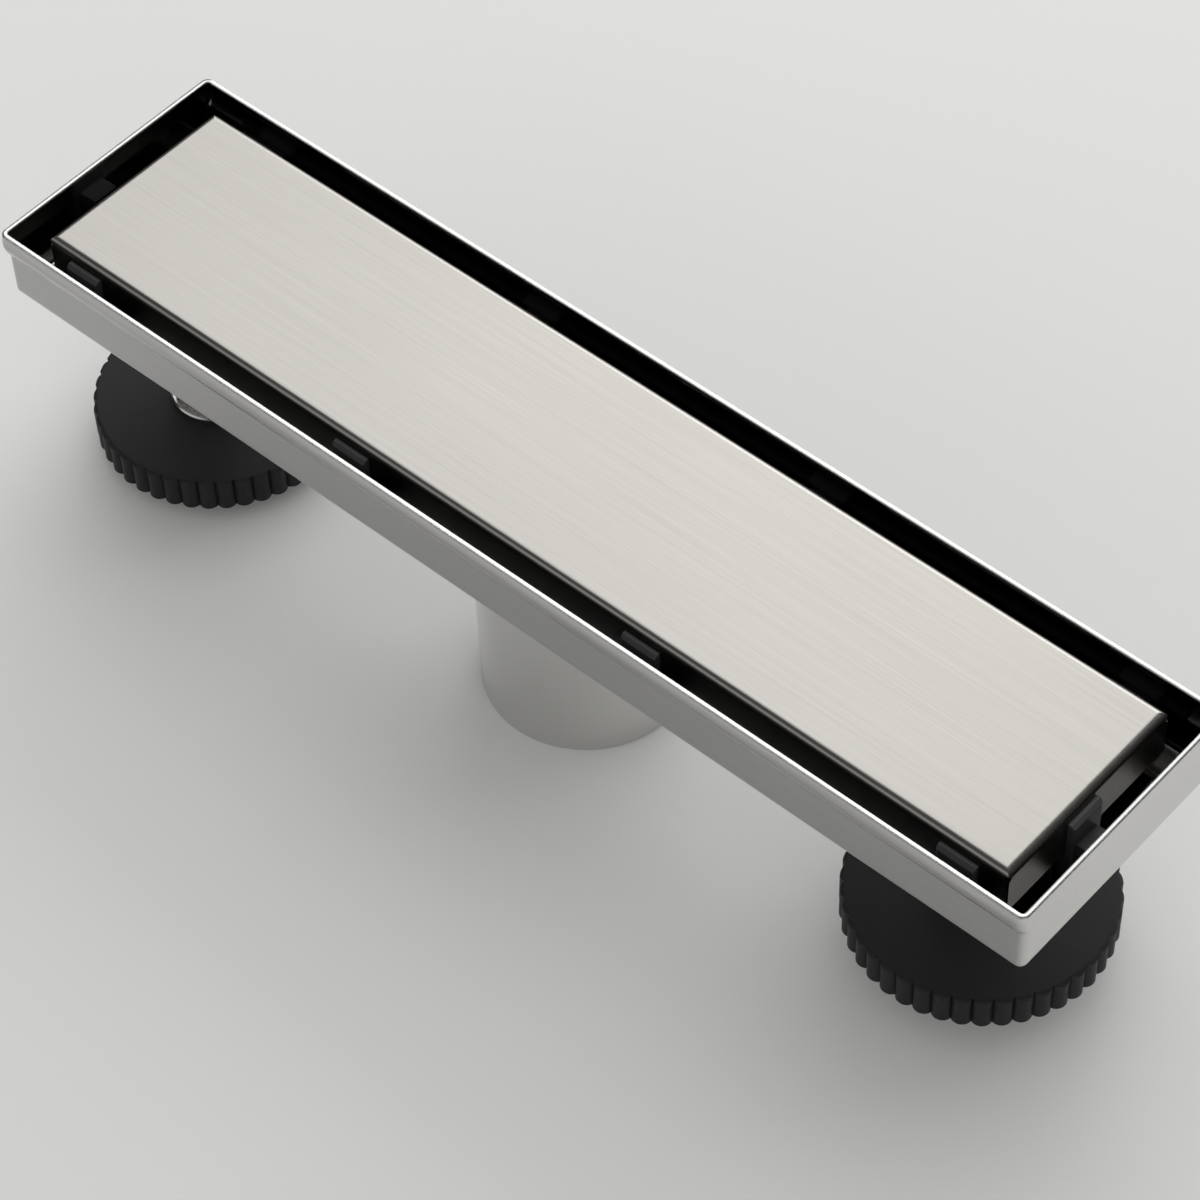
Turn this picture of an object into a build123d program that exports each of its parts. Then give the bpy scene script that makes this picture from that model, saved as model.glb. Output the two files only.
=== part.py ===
# Short linear shower drain: a pressed channel on a round outlet, a folded cover tray held in it by
# ten spacer clips, and two levelling feet. Millimetres, Z up, origin at the middle of the outlet's lower end.
# X runs along the channel, and -Y is the near long side.
import math
import os

from build123d import *

# Channel
rim_length = 305.0
rim_width = 69.85
channel_depth = 20.2
sheet = 1.3
bead_height = 6.9
bead_bulge = 0.55
bead_middle = 2.8
side_step = 1.0
end_step = 0.25
rim_corner = 2.0
bottom_bend = 1.8
rim_edge = 0.2

# Outlet
outlet_radius = 25.4
outlet_length = 54.5
outlet_wall = 1.5
weld_leg = 1.8

# Cover tray
end_gap = 7.95
side_gap = 4.825
cover_sheet = 1.2
cover_drop = 0.5
cover_height = 13.25
cover_fold = 2.0
mitre_gap = 0.5
relief_radius = 0.8

# Spacer clips
clip_width = 10.0
clip_end = 12.5
clips_each_side = 4
clip_plate = 1.8
clip_inner_leg = 1.5
clip_grip = 0.1
clip_plate_drop = 3.6
clip_arm_drop = 11.0
clip_arm_height = 3.4
clip_arm_width = 7.0
end_clip_side = -2.6
clip_wall_gap = 0.3
clip_edge = 0.5

# Hair strainer
strainer_sheet = 0.8
strainer_flange = 5.0
strainer_play = 0.5
strainer_depth = 18.0
strainer_hole = 1.6
strainer_pitch = 4.8

# Levelling feet
foot_end = {"left": 31.5, "right": 33.8}
foot_side = -1.5
foot_radius = 31.5
foot_height = 9.0
foot_lobes = 42
lobe_radius = 2.6
foot_skin = 2.5
foot_hub = 13.0
rib_count = 8
rib_width = 2.0
foot_top_edge = 1.2
foot_hang = {"left": 49.7, "right": 43.2}

# Threaded studs, their nuts and washers, and the sockets that they screw into
stud_radius = 6.0
stud_tip = 1.0
head_across = 18.0
head_thick = 5.0
head_cover = 3.0
head_play = 0.1
nut_across = 19.0
nut_thick = 6.0
washer_radius = 12.0
washer_bore = 6.5
washer_thick = 1.8
stack_play = 0.15
thread_play = 0.05
socket_radius = 9.5
socket_length = 22.0

# Heights and half sizes that follow from these
channel_under = outlet_length
channel_floor = channel_under + sheet
rim_height = channel_under + channel_depth
bead_low = rim_height - bead_height
inner_side = rim_width / 2 - side_step - sheet
inner_end = rim_length / 2 - end_step - sheet
outlet_bore = outlet_radius - outlet_wall
cover_length = 2 * (inner_end - end_gap)
cover_width = 2 * (inner_side - side_gap)
cover_top = rim_height - cover_drop
skirt_low = cover_top - cover_height
clip_pitch = (cover_length - 2 * clip_end) / (clips_each_side - 1)
stack_height = washer_thick + nut_thick + 2 * stack_play
stud_length = head_cover + stack_height + socket_length
above = (Align.CENTER, Align.CENTER, Align.MIN)


def outline(end, side, inset):
    # The rim's outline at one level, its ends and sides moved out and then drawn in all round
    length = rim_length + 2 * (end - inset)
    width = rim_width + 2 * (side - inset)
    return RectangleRounded(length, width, rim_corner - inset)


def channel_form(inset, low, high):
    # Plain walls with a bent lower edge, under a rim that bulges outwards in a bead along the long sides
    wall = outline(-end_step, -side_step, inset)
    middle = outline(-end_step / 2, bead_bulge, inset)
    land = outline(0, 0, inset)
    walls = extrude(Pos(0, 0, low) * wall, bead_low - low)
    walls = fillet(walls.faces().sort_by(Axis.Z)[0].edges(), bottom_bend - inset)
    levels = [Pos(0, 0, bead_low) * wall, Pos(0, 0, rim_height - bead_middle) * middle]
    levels.append(Pos(0, 0, rim_height) * land)
    form = walls + loft(levels)
    if high > rim_height:
        form += extrude(Pos(0, 0, rim_height) * land, high - rim_height)
    return form


def make_channel():
    body = channel_form(0, channel_under, rim_height)
    body -= channel_form(sheet, channel_floor, rim_height + sheet)
    body -= Pos(0, 0, channel_under) * Cylinder(outlet_bore, sheet, align=above)
    return fillet(body.faces().sort_by(Axis.Z)[-1].edges(), rim_edge)


def weld_ring(radius, top):
    # Fillet weld round an upright tube, against a flat face above it
    section = Plane.XZ * Polygon(
        (radius, top),
        (radius + weld_leg, top),
        (radius, top - weld_leg),
        align=None,
    )
    return revolve(section, Axis.Z)


def make_outlet():
    pipe = Cylinder(outlet_radius, channel_under, align=above)
    pipe -= Cylinder(outlet_bore, channel_under, align=above)
    pipe = fillet(pipe.faces().sort_by(Axis.Z)[0].edges(), outlet_wall / 5)
    return pipe + weld_ring(outlet_radius, channel_under)


def make_cover():
    # Flat plate with a skirt bent down on all four sides, its corners left open at a mitre
    tray = Pos(0, 0, skirt_low) * Box(cover_length, cover_width, cover_height, align=above)
    tray = fillet(tray.faces().sort_by(Axis.Z)[-1].edges(), cover_fold)
    hollow = Pos(0, 0, skirt_low) * Box(
        cover_length - 2 * cover_sheet,
        cover_width - 2 * cover_sheet,
        cover_height - cover_sheet,
        align=above,
    )
    tray -= fillet(hollow.faces().sort_by(Axis.Z)[-1].edges(), cover_fold - cover_sheet)
    slit_length = 4 * cover_fold
    slit_height = cover_height - cover_fold
    slit = Pos(0, 0, skirt_low) * Box(slit_length, mitre_gap, slit_height, align=above)
    slit += Pos(0, 0, skirt_low + slit_height) * Rot(0, 90, 0) * Cylinder(relief_radius, slit_length)
    for side_x in (-1, 1):
        for side_y in (-1, 1):
            corner = Pos(side_x * cover_length / 2, side_y * cover_width / 2, 0)
            tray -= corner * Rot(0, 0, 45 * side_x * side_y) * slit
    return tray


def make_clip(gap):
    # Grips the skirt's lower edge and stands on the channel floor. Drawn with the skirt's outer face
    # at x = 0, its arm reaching out along +X across the gap to the channel wall.
    arm_top = rim_height - clip_arm_drop
    plate_top = rim_height - clip_plate_drop
    inner_top = (skirt_low + arm_top) / 2
    slot_in = -cover_sheet - clip_grip
    outer = clip_grip + clip_plate
    profile = Polygon(
        (slot_in - clip_inner_leg, channel_floor),
        (outer, channel_floor),
        (outer, plate_top - clip_plate / 2),
        (outer - clip_plate / 2, plate_top),
        (clip_grip, plate_top),
        (clip_grip, skirt_low),
        (slot_in, skirt_low),
        (slot_in, inner_top),
        (slot_in - clip_inner_leg, inner_top),
        align=None,
    )
    clip = extrude(Plane.XZ * profile, clip_width / 2, both=True)
    clip = fillet(clip.edges().filter_by(Axis.Z).sort_by(Axis.X)[-2:], clip_edge)
    arm = Pos(outer, 0, arm_top) * Box(
        gap - clip_wall_gap - outer,
        clip_arm_width,
        clip_arm_height,
        align=(Align.MIN, Align.CENTER, Align.MAX),
    )
    return clip + arm


def make_strainer():
    # Cup with a flat flange, hung in the outlet, its bottom pierced with a honeycomb of holes
    cup_radius = outlet_bore - strainer_play
    cup_low = channel_floor + strainer_sheet - strainer_depth
    section = Plane.XZ * Polygon(
        (0, cup_low),
        (cup_radius, cup_low),
        (cup_radius, channel_floor),
        (outlet_bore + strainer_flange, channel_floor),
        (outlet_bore + strainer_flange, channel_floor + strainer_sheet),
        (cup_radius - strainer_sheet, channel_floor + strainer_sheet),
        (cup_radius - strainer_sheet, cup_low + strainer_sheet),
        (0, cup_low + strainer_sheet),
        align=None,
    )
    cup = revolve(section, Axis.Z)
    reach = cup_radius - 2 * strainer_sheet - strainer_hole
    rows = int(reach / strainer_pitch) + 1
    holes = []
    for row in range(-rows, rows + 1):
        for place in range(-rows, rows + 1):
            x = (place + row / 2) * strainer_pitch
            y = row * strainer_pitch * math.sin(math.radians(60))
            if math.hypot(x, y) <= reach:
                holes.append(Pos(x, y, cup_low) * Cylinder(strainer_hole, strainer_sheet, align=above))
    return cup - holes


def make_foot():
    # Moulded disc with a lobed edge, cored out from below between ribs, with a hexagon pocket in the hub
    lobe_ring = foot_radius - lobe_radius
    edge = Circle(lobe_ring)
    for place in range(foot_lobes):
        edge += Rot(0, 0, place * 360 / foot_lobes) * Pos(lobe_ring, 0) * Circle(lobe_radius)
    round_edge = Cylinder(foot_radius, foot_height, align=above)
    round_edge = fillet(round_edge.faces().sort_by(Axis.Z)[-1].edges(), foot_top_edge)
    disc = extrude(edge, foot_height) & round_edge
    core_height = foot_height - foot_skin
    core = Cylinder(lobe_ring - foot_skin / 2, core_height, align=above)
    core -= Cylinder(foot_hub, core_height, align=above)
    for place in range(rib_count):
        core -= Rot(0, 0, place * 360 / rib_count) * Box(
            foot_radius,
            rib_width,
            core_height,
            align=(Align.MIN, Align.CENTER, Align.MIN),
        )
    pocket_outline = RegularPolygon(head_across / 2 + head_play, 6, major_radius=False)
    pocket = extrude(pocket_outline, foot_height - head_cover)
    return disc - core - pocket - Cylinder(stud_radius + head_play, foot_height, align=above)


def hexagon(across, thick):
    # Hexagon with its corners turned off at the upper face
    prism = extrude(RegularPolygon(across / 2, 6, major_radius=False), thick)
    corner_radius = across / 2 / math.cos(math.radians(30))
    turned = Cylinder(corner_radius, thick, align=above)
    turned = chamfer(turned.faces().sort_by(Axis.Z)[-1].edges(), (corner_radius - across / 2) / 2)
    return prism & turned


def make_stud():
    # Bolt standing in the foot: its head in the hub's pocket, its shank up to the socket
    seat = foot_height - head_cover
    head = Pos(0, 0, seat - head_thick) * extrude(
        RegularPolygon(head_across / 2, 6, major_radius=False),
        head_thick,
    )
    shank = Pos(0, 0, seat) * Cylinder(stud_radius, stud_length, align=above)
    shank = chamfer(shank.faces().sort_by(Axis.Z)[-1].edges(), stud_tip)
    return head + shank


def make_washer():
    ring = Cylinder(washer_radius, washer_thick, align=above)
    ring -= Cylinder(washer_bore, washer_thick, align=above)
    return chamfer(ring.faces().sort_by(Axis.Z)[-1].edges().sort_by(SortBy.LENGTH)[-1], washer_thick / 5)


def make_lock_nut():
    nut = hexagon(nut_across, nut_thick)
    return nut - Cylinder(stud_radius + thread_play, nut_thick, align=above)


def make_socket():
    # Threaded sleeve, closed at its upper end by the channel that it is welded to
    socket_low = channel_under - socket_length
    sleeve = Pos(0, 0, socket_low) * Cylinder(socket_radius, socket_length, align=above)
    sleeve = chamfer(sleeve.faces().sort_by(Axis.Z)[0].edges(), stud_tip / 2)
    sleeve -= Pos(0, 0, socket_low) * Cylinder(stud_radius + thread_play, socket_length, align=above)
    return sleeve + weld_ring(socket_radius, channel_under)


parts = {
    "channel_body": make_channel(),
    "outlet_pipe": make_outlet(),
    "cover_tray": make_cover(),
    "hair_strainer": make_strainer(),
}

side_clip = make_clip(inner_side - cover_width / 2)
for number in range(clips_each_side):
    clip_x = (number - (clips_each_side - 1) / 2) * clip_pitch
    parts[f"clip_near_{number + 1}"] = Pos(clip_x, -cover_width / 2, 0) * Rot(0, 0, -90) * side_clip
    parts[f"clip_far_{number + 1}"] = Pos(clip_x, cover_width / 2, 0) * Rot(0, 0, 90) * side_clip

end_clip = make_clip(inner_end - cover_length / 2)
parts["clip_left"] = Pos(-cover_length / 2, end_clip_side, 0) * Rot(0, 0, 180) * end_clip
parts["clip_right"] = Pos(cover_length / 2, end_clip_side, 0) * end_clip

foot = make_foot()
stud = make_stud()
washer = make_washer()
lock_nut = make_lock_nut()
socket = make_socket()
for side, direction in (("left", -1), ("right", 1)):
    foot_low = channel_under - foot_hang[side]
    washer_low = foot_low + foot_height + stack_play
    nut_low = washer_low + washer_thick + stack_play
    along = direction * (rim_length / 2 - foot_end[side])
    parts[f"socket_{side}"] = Pos(along, foot_side, 0) * socket
    parts[f"foot_{side}"] = Pos(along, foot_side, foot_low) * foot
    parts[f"stud_{side}"] = Pos(along, foot_side, foot_low) * stud
    parts[f"washer_{side}"] = Pos(along, foot_side, washer_low) * washer
    parts[f"lock_nut_{side}"] = Pos(along, foot_side, nut_low) * lock_nut

os.makedirs("parts", exist_ok=True)
for node, shape in parts.items():
    export_step(shape, f"parts/{node}.step")
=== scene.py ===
import math
import bpy
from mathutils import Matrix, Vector


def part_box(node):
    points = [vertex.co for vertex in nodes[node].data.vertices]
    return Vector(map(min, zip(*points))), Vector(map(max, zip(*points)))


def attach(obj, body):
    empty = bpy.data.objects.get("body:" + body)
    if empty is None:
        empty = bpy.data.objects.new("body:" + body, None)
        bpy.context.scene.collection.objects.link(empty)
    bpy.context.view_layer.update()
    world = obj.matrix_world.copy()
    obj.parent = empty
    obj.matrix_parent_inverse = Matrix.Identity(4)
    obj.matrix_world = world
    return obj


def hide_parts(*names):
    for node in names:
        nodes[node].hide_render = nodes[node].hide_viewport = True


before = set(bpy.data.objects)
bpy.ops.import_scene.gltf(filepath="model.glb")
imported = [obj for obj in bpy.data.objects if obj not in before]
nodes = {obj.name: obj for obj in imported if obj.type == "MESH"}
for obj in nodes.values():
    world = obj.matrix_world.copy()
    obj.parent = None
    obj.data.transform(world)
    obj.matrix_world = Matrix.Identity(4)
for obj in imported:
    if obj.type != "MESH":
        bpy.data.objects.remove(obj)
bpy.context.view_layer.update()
print("frame loaded:", len(nodes), "nodes")

black = (0, 0, 0)


class Soc:
    # wraps a shader socket, so that material maths reads as plain expressions
    def __init__(self, mat, socket):
        self.mat = mat
        self.socket = socket

    def math(self, kind, a, b=None, clamp=False):
        node = self.mat.node_tree.nodes.new("ShaderNodeMath")
        node.operation = kind
        node.use_clamp = clamp
        for slot, value in zip(node.inputs, (a, b)):
            if isinstance(value, Soc):
                self.mat.node_tree.links.new(value.socket, slot)
            elif value is not None:
                slot.default_value = value
        return Soc(self.mat, node.outputs[0])

    def __add__(self, other):
        return self.math("ADD", self, other)

    def __radd__(self, other):
        return self.math("ADD", other, self)

    def __sub__(self, other):
        return self.math("SUBTRACT", self, other)

    def __rsub__(self, other):
        return self.math("SUBTRACT", other, self)

    def __mul__(self, other):
        return self.math("MULTIPLY", self, other)

    def __rmul__(self, other):
        return self.math("MULTIPLY", other, self)

    def __pow__(self, other):
        return self.math("POWER", self, other)

    def abs(self):
        return self.math("ABSOLUTE", self)

    def clamped(self):
        return self.math("ADD", self, 0.0, clamp=True)


class Finish:
    # one material: a Principled shader and the nodes that feed it
    def __init__(self, name, color, metallic, roughness, **fixed):
        self.mat = bpy.data.materials.new(name)
        self.mat.use_nodes = True
        self.shader = self.mat.node_tree.nodes["Principled BSDF"]
        self.shader.inputs["Base Color"].default_value = (*color, 1)
        self.shader.inputs["Metallic"].default_value = metallic
        self.shader.inputs["Roughness"].default_value = roughness
        for key, value in fixed.items():
            self.shader.inputs[key.replace("_", " ")].default_value = value

    def node(self, kind, output=0, settings=None, **inputs):
        node = self.mat.node_tree.nodes.new(kind)
        for key, value in (settings or {}).items():
            setattr(node, key, value)
        for key, value in inputs.items():
            slot = node.inputs[key.replace("_", " ")]
            if isinstance(value, Soc):
                self.mat.node_tree.links.new(value.socket, slot)
            else:
                slot.default_value = value
        return Soc(self.mat, node.outputs[output])

    def place(self, scale=(1, 1, 1)):
        coords = self.node("ShaderNodeTexCoord", "Object")
        return self.node("ShaderNodeMapping", Vector=coords, Scale=scale)

    def axis(self, source, axis):
        # one axis of the surface's Normal or of its Object coordinates
        coords = self.node("ShaderNodeTexCoord", source)
        return self.node("ShaderNodeSeparateXYZ", axis, Vector=coords)

    def noise(self, where, scale, detail=2.0, roughness=0.5):
        return self.node("ShaderNodeTexNoise", "Fac", Vector=where, Scale=scale,
                         Detail=detail, Roughness=roughness)

    def mix(self, share, low, high):
        low, high = (color if isinstance(color, Soc) else (*color, 1) for color in (low, high))
        settings = {"data_type": "RGBA"}
        colorOutput = 2  # the outputs are a float, a vector and a colour
        return self.node("ShaderNodeMix", colorOutput, settings, Factor=share, A=low, B=high)

    def into(self, name, value):
        self.mat.node_tree.links.new(value.socket, self.shader.inputs[name])

    def bump(self, height, distance, **more):
        raised = self.node("ShaderNodeBump", "Normal", Height=height, Distance=distance, **more)
        self.into("Normal", raised)


# Camera at the photograph's angle
view = {"place": (0.39972, -0.41738, 0.73309), "degrees": (39.1725, 1.6460, 41.3847),
        "lens": 117.2, "sensor": 36}

camera = bpy.data.objects.new("Camera", bpy.data.cameras.new("Camera"))
bpy.context.scene.collection.objects.link(camera)
camera.location = view["place"]
camera.rotation_euler = [math.radians(angle) for angle in view["degrees"]]
camera.data.lens = view["lens"]
camera.data.sensor_width = view["sensor"]
bpy.context.scene.camera = camera
print("camera set")

# In every finish roughness is the plain value, smoothest the lowest one, spread what the grain adds to it,
# grain how tightly the noise is drawn and depth the bump in metres

# Channel: polished sheet. Its colour holds painted light and shade: upward faces painted brightest, long sides
# painted duller and inner faces painted darkest, standing in for reflected floor shadow and the dark cavity
channel = {"tint": (0.995, 0.985, 0.965), "level": 0.63, "top": 0.28, "sides": 0.24, "sidePower": 4.0,
           "paintedInnerShade": 0.30, "sideGain": 40.0, "endGain": 10.0, "grain": (40, 700, 700), "grainTone": 0.05,
           "roughness": 0.10, "smoothest": 0.065, "spread": 0.05, "depth": 0.000003,
           "rolled": 0.0011, "samples": 10}


def rolledChannel():
    finish = Finish("channelSteel", channel["tint"], 1.0, channel["roughness"])
    topLightMask = finish.axis("Normal", "Z").clamped()
    across, along = finish.axis("Normal", "Y"), finish.axis("Normal", "X")
    beside, beyond = finish.axis("Object", "Y"), finish.axis("Object", "X")
    # painted shade masks for the inner faces of the long sides and of the ends
    innerSideShadeMask = (across * beside * -channel["sideGain"]).clamped()  # 1 where a long side faces the middle
    innerEndShadeMask = (along * beyond * -channel["endGain"]).clamped()
    grain = finish.noise(finish.place(channel["grain"]), 1.0)
    # painted light on upward faces and painted shade on the long sides and inner faces, added to the steel's
    # grain tone
    level = topLightMask * channel["top"] + channel["level"]
    level = level - across.abs() ** channel["sidePower"] * channel["sides"]
    level = level - (innerSideShadeMask + innerEndShadeMask) * channel["paintedInnerShade"] + grain * channel["grainTone"]
    finish.into("Base Color", finish.mix(level.clamped(), black, channel["tint"]))
    finish.into("Roughness", grain * channel["spread"] + channel["smoothest"])
    # the bevelled normal makes the rim read as rolled over
    samples = {"samples": channel["samples"]}
    rolled = finish.node("ShaderNodeBevel", settings=samples, Radius=channel["rolled"])
    finish.bump(grain, channel["depth"], Normal=rolled)
    return finish


# Brushed steel: its grain is loose along the brush and tight across it. contrast is how much darker the
# streaks are, and upright faces (the cover's skirts) get painted shade in their colour, the end ones a little
# less
brush = {"detail": 3.0, "roughness": 0.6, "patches": (9, 14, 14), "fineShare": 0.7, "patchShare": 0.3,
         "gain": 2.0, "patchSpread": 0.04, "skirtShadePower": 3.0, "endsLess": 0.2}
steels = {
    "coverSteel": {"grain": (18, 2200, 2200), "color": (0.60, 0.580, 0.545), "roughness": 0.32,
                   "depth": 0.000016, "spread": 0.12, "contrast": 0.19, "paintedSkirtShade": 0.75},
    "pipeSteel": {"grain": (260, 260, 30), "color": (0.67, 0.665, 0.65), "roughness": 0.20,
                  "depth": 0.000002, "spread": 0.03, "contrast": 0.04},
    "strainerSteel": {"grain": (500, 500, 500), "color": (0.62, 0.61, 0.60), "roughness": 0.24,
                      "depth": 0.000004},
    "socketSteel": {"grain": (60, 60, 1500), "color": (0.62, 0.61, 0.60), "roughness": 0.28,
                    "depth": 0.000006},
    "boltSteel": {"grain": (150, 150, 800), "color": (0.66, 0.65, 0.64), "roughness": 0.22,
                  "depth": 0.000003},
    "washerSteel": {"grain": (300, 300, 300), "color": (0.68, 0.67, 0.66), "roughness": 0.20,
                    "depth": 0.000004},
    "nutSteel": {"grain": (300, 300, 900), "color": (0.66, 0.65, 0.64), "roughness": 0.22,
                 "depth": 0.000004},
}


def brushedSteel(name, grain, color, roughness, depth, spread=0.05, contrast=0.10, paintedSkirtShade=0.0):
    low = tuple(value * (1 - contrast) for value in color)
    finish = Finish(name, color, 1.0, roughness)
    fine = finish.noise(finish.place(grain), 1.0, brush["detail"], brush["roughness"])
    patches = finish.noise(finish.place(brush["patches"]), 1.0)
    streaks = fine * brush["fineShare"] + patches * brush["patchShare"] - 0.5
    tone = finish.mix((streaks * brush["gain"] + 0.5).clamped(), low, color)
    # painted shade on upright faces: strongest where a face looks along Y, a little less where it looks along
    # X
    if paintedSkirtShade:
        sides = finish.axis("Normal", "Y").abs() ** brush["skirtShadePower"] * paintedSkirtShade
        paintedEndShade = finish.axis("Normal", "X").abs() ** brush["skirtShadePower"] * (paintedSkirtShade - brush["endsLess"])
        tone = finish.mix(sides + paintedEndShade, tone, black)
    smoothest = roughness - (spread + brush["patchSpread"]) / 2
    finish.into("Base Color", tone)
    finish.into("Roughness", fine * spread + patches * brush["patchSpread"] + smoothest)
    finish.bump(fine, depth)
    return finish


# Clips: moulded dark grey plastic
clip = {"color": (0.078, 0.078, 0.079), "roughness": 0.42, "smoothest": 0.34, "spread": 0.16,
        "grain": 1400, "depth": 0.00002}


def mouldedClip():
    finish = Finish("clipPlastic", clip["color"], 0.0, clip["roughness"])
    grain = finish.noise(finish.place(), clip["grain"])
    finish.into("Roughness", grain * clip["spread"] + clip["smoothest"])
    finish.bump(grain, clip["depth"])
    return finish


# Feet: moulded black plastic, its colour with painted light on top and painted shade round the lobes
foot = {"color": (0.016, 0.016, 0.017), "dark": (0.004, 0.004, 0.0042), "light": (0.026, 0.026, 0.027),
        "topShare": 0.5, "specular": 0.25, "roughness": 0.5, "smoothest": 0.42,
        "grain": 1100, "detail": 3.0, "spread": 0.12,
        "flow": 40, "flowStretch": (1, 1, 2), "flowSpread": 0.08, "depth": 0.00003}


def mouldedFoot():
    finish = Finish("footPlastic", foot["color"], 0.0, foot["roughness"], Specular_IOR_Level=foot["specular"])
    grain = finish.noise(finish.place(), foot["grain"], foot["detail"])
    flow = finish.noise(finish.place(foot["flowStretch"]), foot["flow"])
    # random flow tone mixed with painted light on upward faces, so the lobes' sides stay darker as painted
    # shade
    top = finish.axis("Normal", "Z").clamped()
    share = flow * (1 - foot["topShare"]) + top * foot["topShare"]
    finish.into("Base Color", finish.mix(share, foot["dark"], foot["light"]))
    finish.into("Roughness", grain * foot["spread"] + flow * foot["flowSpread"] + foot["smoothest"])
    finish.bump(grain, foot["depth"])
    return finish


# Each finish goes on the nodes whose names start with its word
steel = {name: brushedSteel(name, **settings) for name, settings in steels.items()}
painted = {"channel_body": rolledChannel(), "outlet_pipe": steel["pipeSteel"],
           "cover_tray": steel["coverSteel"], "hair_strainer": steel["strainerSteel"],
           "clip_": mouldedClip(), "foot_": mouldedFoot(), "socket_": steel["socketSteel"],
           "stud_": steel["boltSteel"], "washer_": steel["washerSteel"], "lock_nut_": steel["nutSteel"]}
for name, obj in nodes.items():
    for start, finish in painted.items():
        if name.startswith(start):
            obj.data.materials.clear()
            obj.data.materials.append(finish.mat)
print("finishes painted")

# Levelling bolts with a real thread, in place of the plain studs, in metres and degrees
bolt = {"pitch": 0.00175, "crest": 0.00599, "depth": 0.00095, "flat": 0.12, "steps": 48, "spareTurns": 2,
        "faces": 6, "across": 0.018, "head": 0.005, "chamfer": 0.0009, "chamferSteps": 2,
        "merge": 0.000002, "smooth": 35}


def only(*chosen):
    # selects these objects alone and makes the first one active
    bpy.ops.object.select_all(action="DESELECT")
    for obj in chosen:
        obj.select_set(True)
    if chosen:
        bpy.context.view_layer.objects.active = chosen[0]


def threadedShank(low, high):
    # one turn's profile, drawn up from a single point, screwed up past both ends and cut flat there
    pitch, depth = bolt["pitch"], bolt["depth"]
    flat = bolt["flat"] * pitch
    flank = (0.5 - bolt["flat"]) * pitch
    only()
    bpy.ops.mesh.primitive_plane_add(size=pitch)
    shank = bpy.context.object
    bpy.ops.object.mode_set(mode="EDIT")
    bpy.ops.mesh.select_all(action="SELECT")
    bpy.ops.mesh.merge(type="CENTER")
    bpy.ops.transform.translate(value=(bolt["crest"] - depth, 0, low - bolt["spareTurns"] * pitch))
    for out, up in ((0, flat), (depth, flank), (0, flat), (-depth, flank)):
        bpy.ops.mesh.extrude_vertices_move(TRANSFORM_OT_translate={"value": (out, 0, up)})
    bpy.ops.object.mode_set(mode="OBJECT")
    screw = shank.modifiers.new("Screw", "SCREW")
    screw.screw_offset = pitch
    screw.iterations = int((high - low) / pitch) + 2 * bolt["spareTurns"] + 1
    screw.steps = bolt["steps"]
    screw.render_steps = bolt["steps"]
    screw.use_merge_vertices = True
    screw.merge_threshold = bolt["merge"]
    bpy.ops.object.modifier_apply(modifier="Screw")
    bpy.ops.object.mode_set(mode="EDIT")
    for level, outer in ((high, True), (low, False)):
        bpy.ops.mesh.select_all(action="SELECT")
        bpy.ops.mesh.bisect(plane_co=(0, 0, level), plane_no=(0, 0, 1), use_fill=True,
                            clear_outer=outer, clear_inner=not outer)
    bpy.ops.object.mode_set(mode="OBJECT")
    return shank


def boltHead(low):
    # a hexagon whose lower edges are chamfered
    halfFace = math.pi / bolt["faces"]
    corner = bolt["across"] / 2 / math.cos(halfFace)
    middle = low + bolt["head"] / 2
    only()
    bpy.ops.mesh.primitive_cylinder_add(vertices=bolt["faces"], radius=corner, depth=bolt["head"],
                                        location=(0, 0, middle), rotation=(0, 0, halfFace))
    head = bpy.context.object
    bpy.ops.object.transform_apply(location=True, rotation=True)
    bpy.ops.object.mode_set(mode="EDIT")
    bpy.ops.mesh.select_all(action="DESELECT")
    bpy.ops.object.mode_set(mode="OBJECT")
    for edge in head.data.edges:
        edge.select = all(head.data.vertices[v].co.z < low + bolt["merge"] for v in edge.vertices)
    bpy.ops.object.mode_set(mode="EDIT")
    bpy.ops.mesh.select_mode(type="EDGE")
    bpy.ops.mesh.bevel(offset=bolt["chamfer"], segments=bolt["chamferSteps"])
    bpy.ops.mesh.select_mode(type="VERT")
    bpy.ops.object.mode_set(mode="OBJECT")
    return head


def joined(first, second, name):
    only(first, second)
    bpy.ops.object.join()
    first.name = name
    bpy.ops.object.mode_set(mode="EDIT")
    bpy.ops.mesh.select_all(action="SELECT")
    bpy.ops.mesh.remove_doubles(threshold=bolt["merge"])
    bpy.ops.mesh.normals_make_consistent(inside=False)
    bpy.ops.object.mode_set(mode="OBJECT")
    bpy.ops.object.shade_smooth_by_angle(angle=math.radians(bolt["smooth"]))
    return first


def copied(obj, name):
    twin = obj.copy()
    twin.data = obj.data.copy()
    twin.name = name
    bpy.context.scene.collection.objects.link(twin)
    return twin


def moved(obj, offset):
    # the finished object stays at the origin, so the shift goes into its mesh
    only(obj)
    obj.location = offset
    bpy.ops.object.transform_apply(location=True)


studs = {side: [Vector(corner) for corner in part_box("stud_" + side)] for side in ("left", "right")}
low, high = studs["left"]
boltLeft = joined(threadedShank(low.z + bolt["head"], high.z), boltHead(low.z), "bolt_left")
boltRight = copied(boltLeft, "bolt_right")
for side, obj in (("left", boltLeft), ("right", boltRight)):
    base, tip = studs[side]
    middle = (base + tip) / 2
    moved(obj, (middle.x, middle.y, base.z - low.z))
    obj.data.materials.clear()
    obj.data.materials.append(steel["boltSteel"].mat)
    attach(obj, "foot_" + side)
    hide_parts("stud_" + side)
print("bolts threaded")

# Floor, soft light and surroundings, in metres and watts
ground = {"color": (0.88, 0.878, 0.868), "roughness": 0.85, "size": 3.4}

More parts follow.
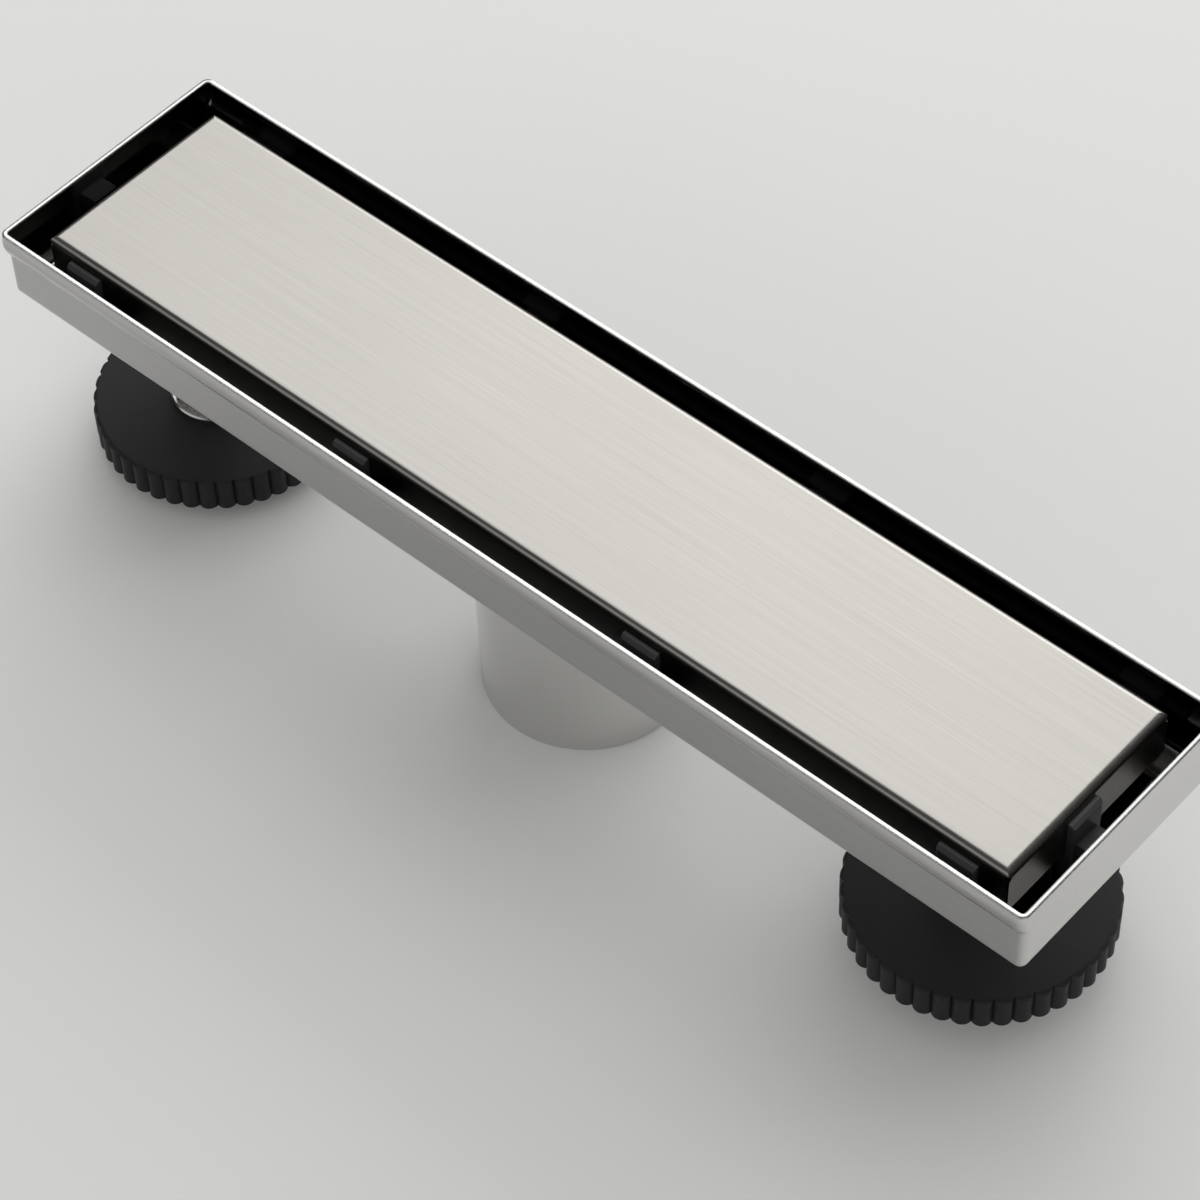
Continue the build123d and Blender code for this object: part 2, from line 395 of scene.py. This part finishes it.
only()
bpy.ops.mesh.primitive_plane_add(size=ground["size"], location=(0, 0, 0))
floor = bpy.context.object
floor.name = "floor"
floor.data.materials.append(Finish("floorPaint", ground["color"], 0.0, ground["roughness"]).mat)

lamps = {
    "softbox": {"place": (-0.50, 0.56, 1.08), "aim": (0, 0, 0), "size": (1.25, 1.15), "power": 5.2},
    "lowPanel": {"place": (-0.20, 2.20, 1.05), "aim": (0.05, 0, 0), "size": (3.4, 1.8), "power": 28.0},
    "sidePanel": {"place": (1.60, -1.05, 0.70), "aim": (0, 0, 0.02), "size": (1.8, 0.9), "power": 4.5},
    "fillPanel": {"place": (-0.40, -2.10, 0.85), "aim": (0, 0, 0), "size": (3.2, 1.4), "power": 8.0},
}
for name, settings in lamps.items():
    light = bpy.data.lights.new(name, "AREA")
    light.shape = "RECTANGLE"
    light.size, light.size_y = settings["size"]
    light.energy = settings["power"]
    lamp = bpy.data.objects.new(name, light)
    bpy.context.scene.collection.objects.link(lamp)
    lamp.location = settings["place"]
    lamp.visible_camera = False
    sight = Vector(settings["aim"]) - Vector(settings["place"])
    lamp.rotation_euler = sight.to_track_quat("-Z", "Y").to_euler()

# what reflections, diffuse light and the camera find past the floor
surroundings = {"glossy": (0.035, 0.035, 0.036), "diffuse": (0.38, 0.38, 0.376), "camera": (0.72, 0.72, 0.712)}

world = bpy.data.worlds.new("world")
bpy.context.scene.world = world
world.use_nodes = True
tree = world.node_tree
tree.nodes.clear()
rays = tree.nodes.new("ShaderNodeLightPath")


def background(use):
    node = tree.nodes.new("ShaderNodeBackground")
    node.inputs["Color"].default_value = (*surroundings[use], 1)
    return node.outputs[0]


def either(ray, yes, no):
    node = tree.nodes.new("ShaderNodeMixShader")
    for source, slot in zip((rays.outputs[ray], no, yes), node.inputs):
        tree.links.new(source, slot)
    return node.outputs[0]


room = either("Is Glossy Ray", background("glossy"), background("diffuse"))
shown = either("Is Camera Ray", background("camera"), room)
output = tree.nodes.new("ShaderNodeOutputWorld")
tree.links.new(shown, output.inputs["Surface"])
bpy.context.scene.view_settings.view_transform = "Standard"
print("stage lit")
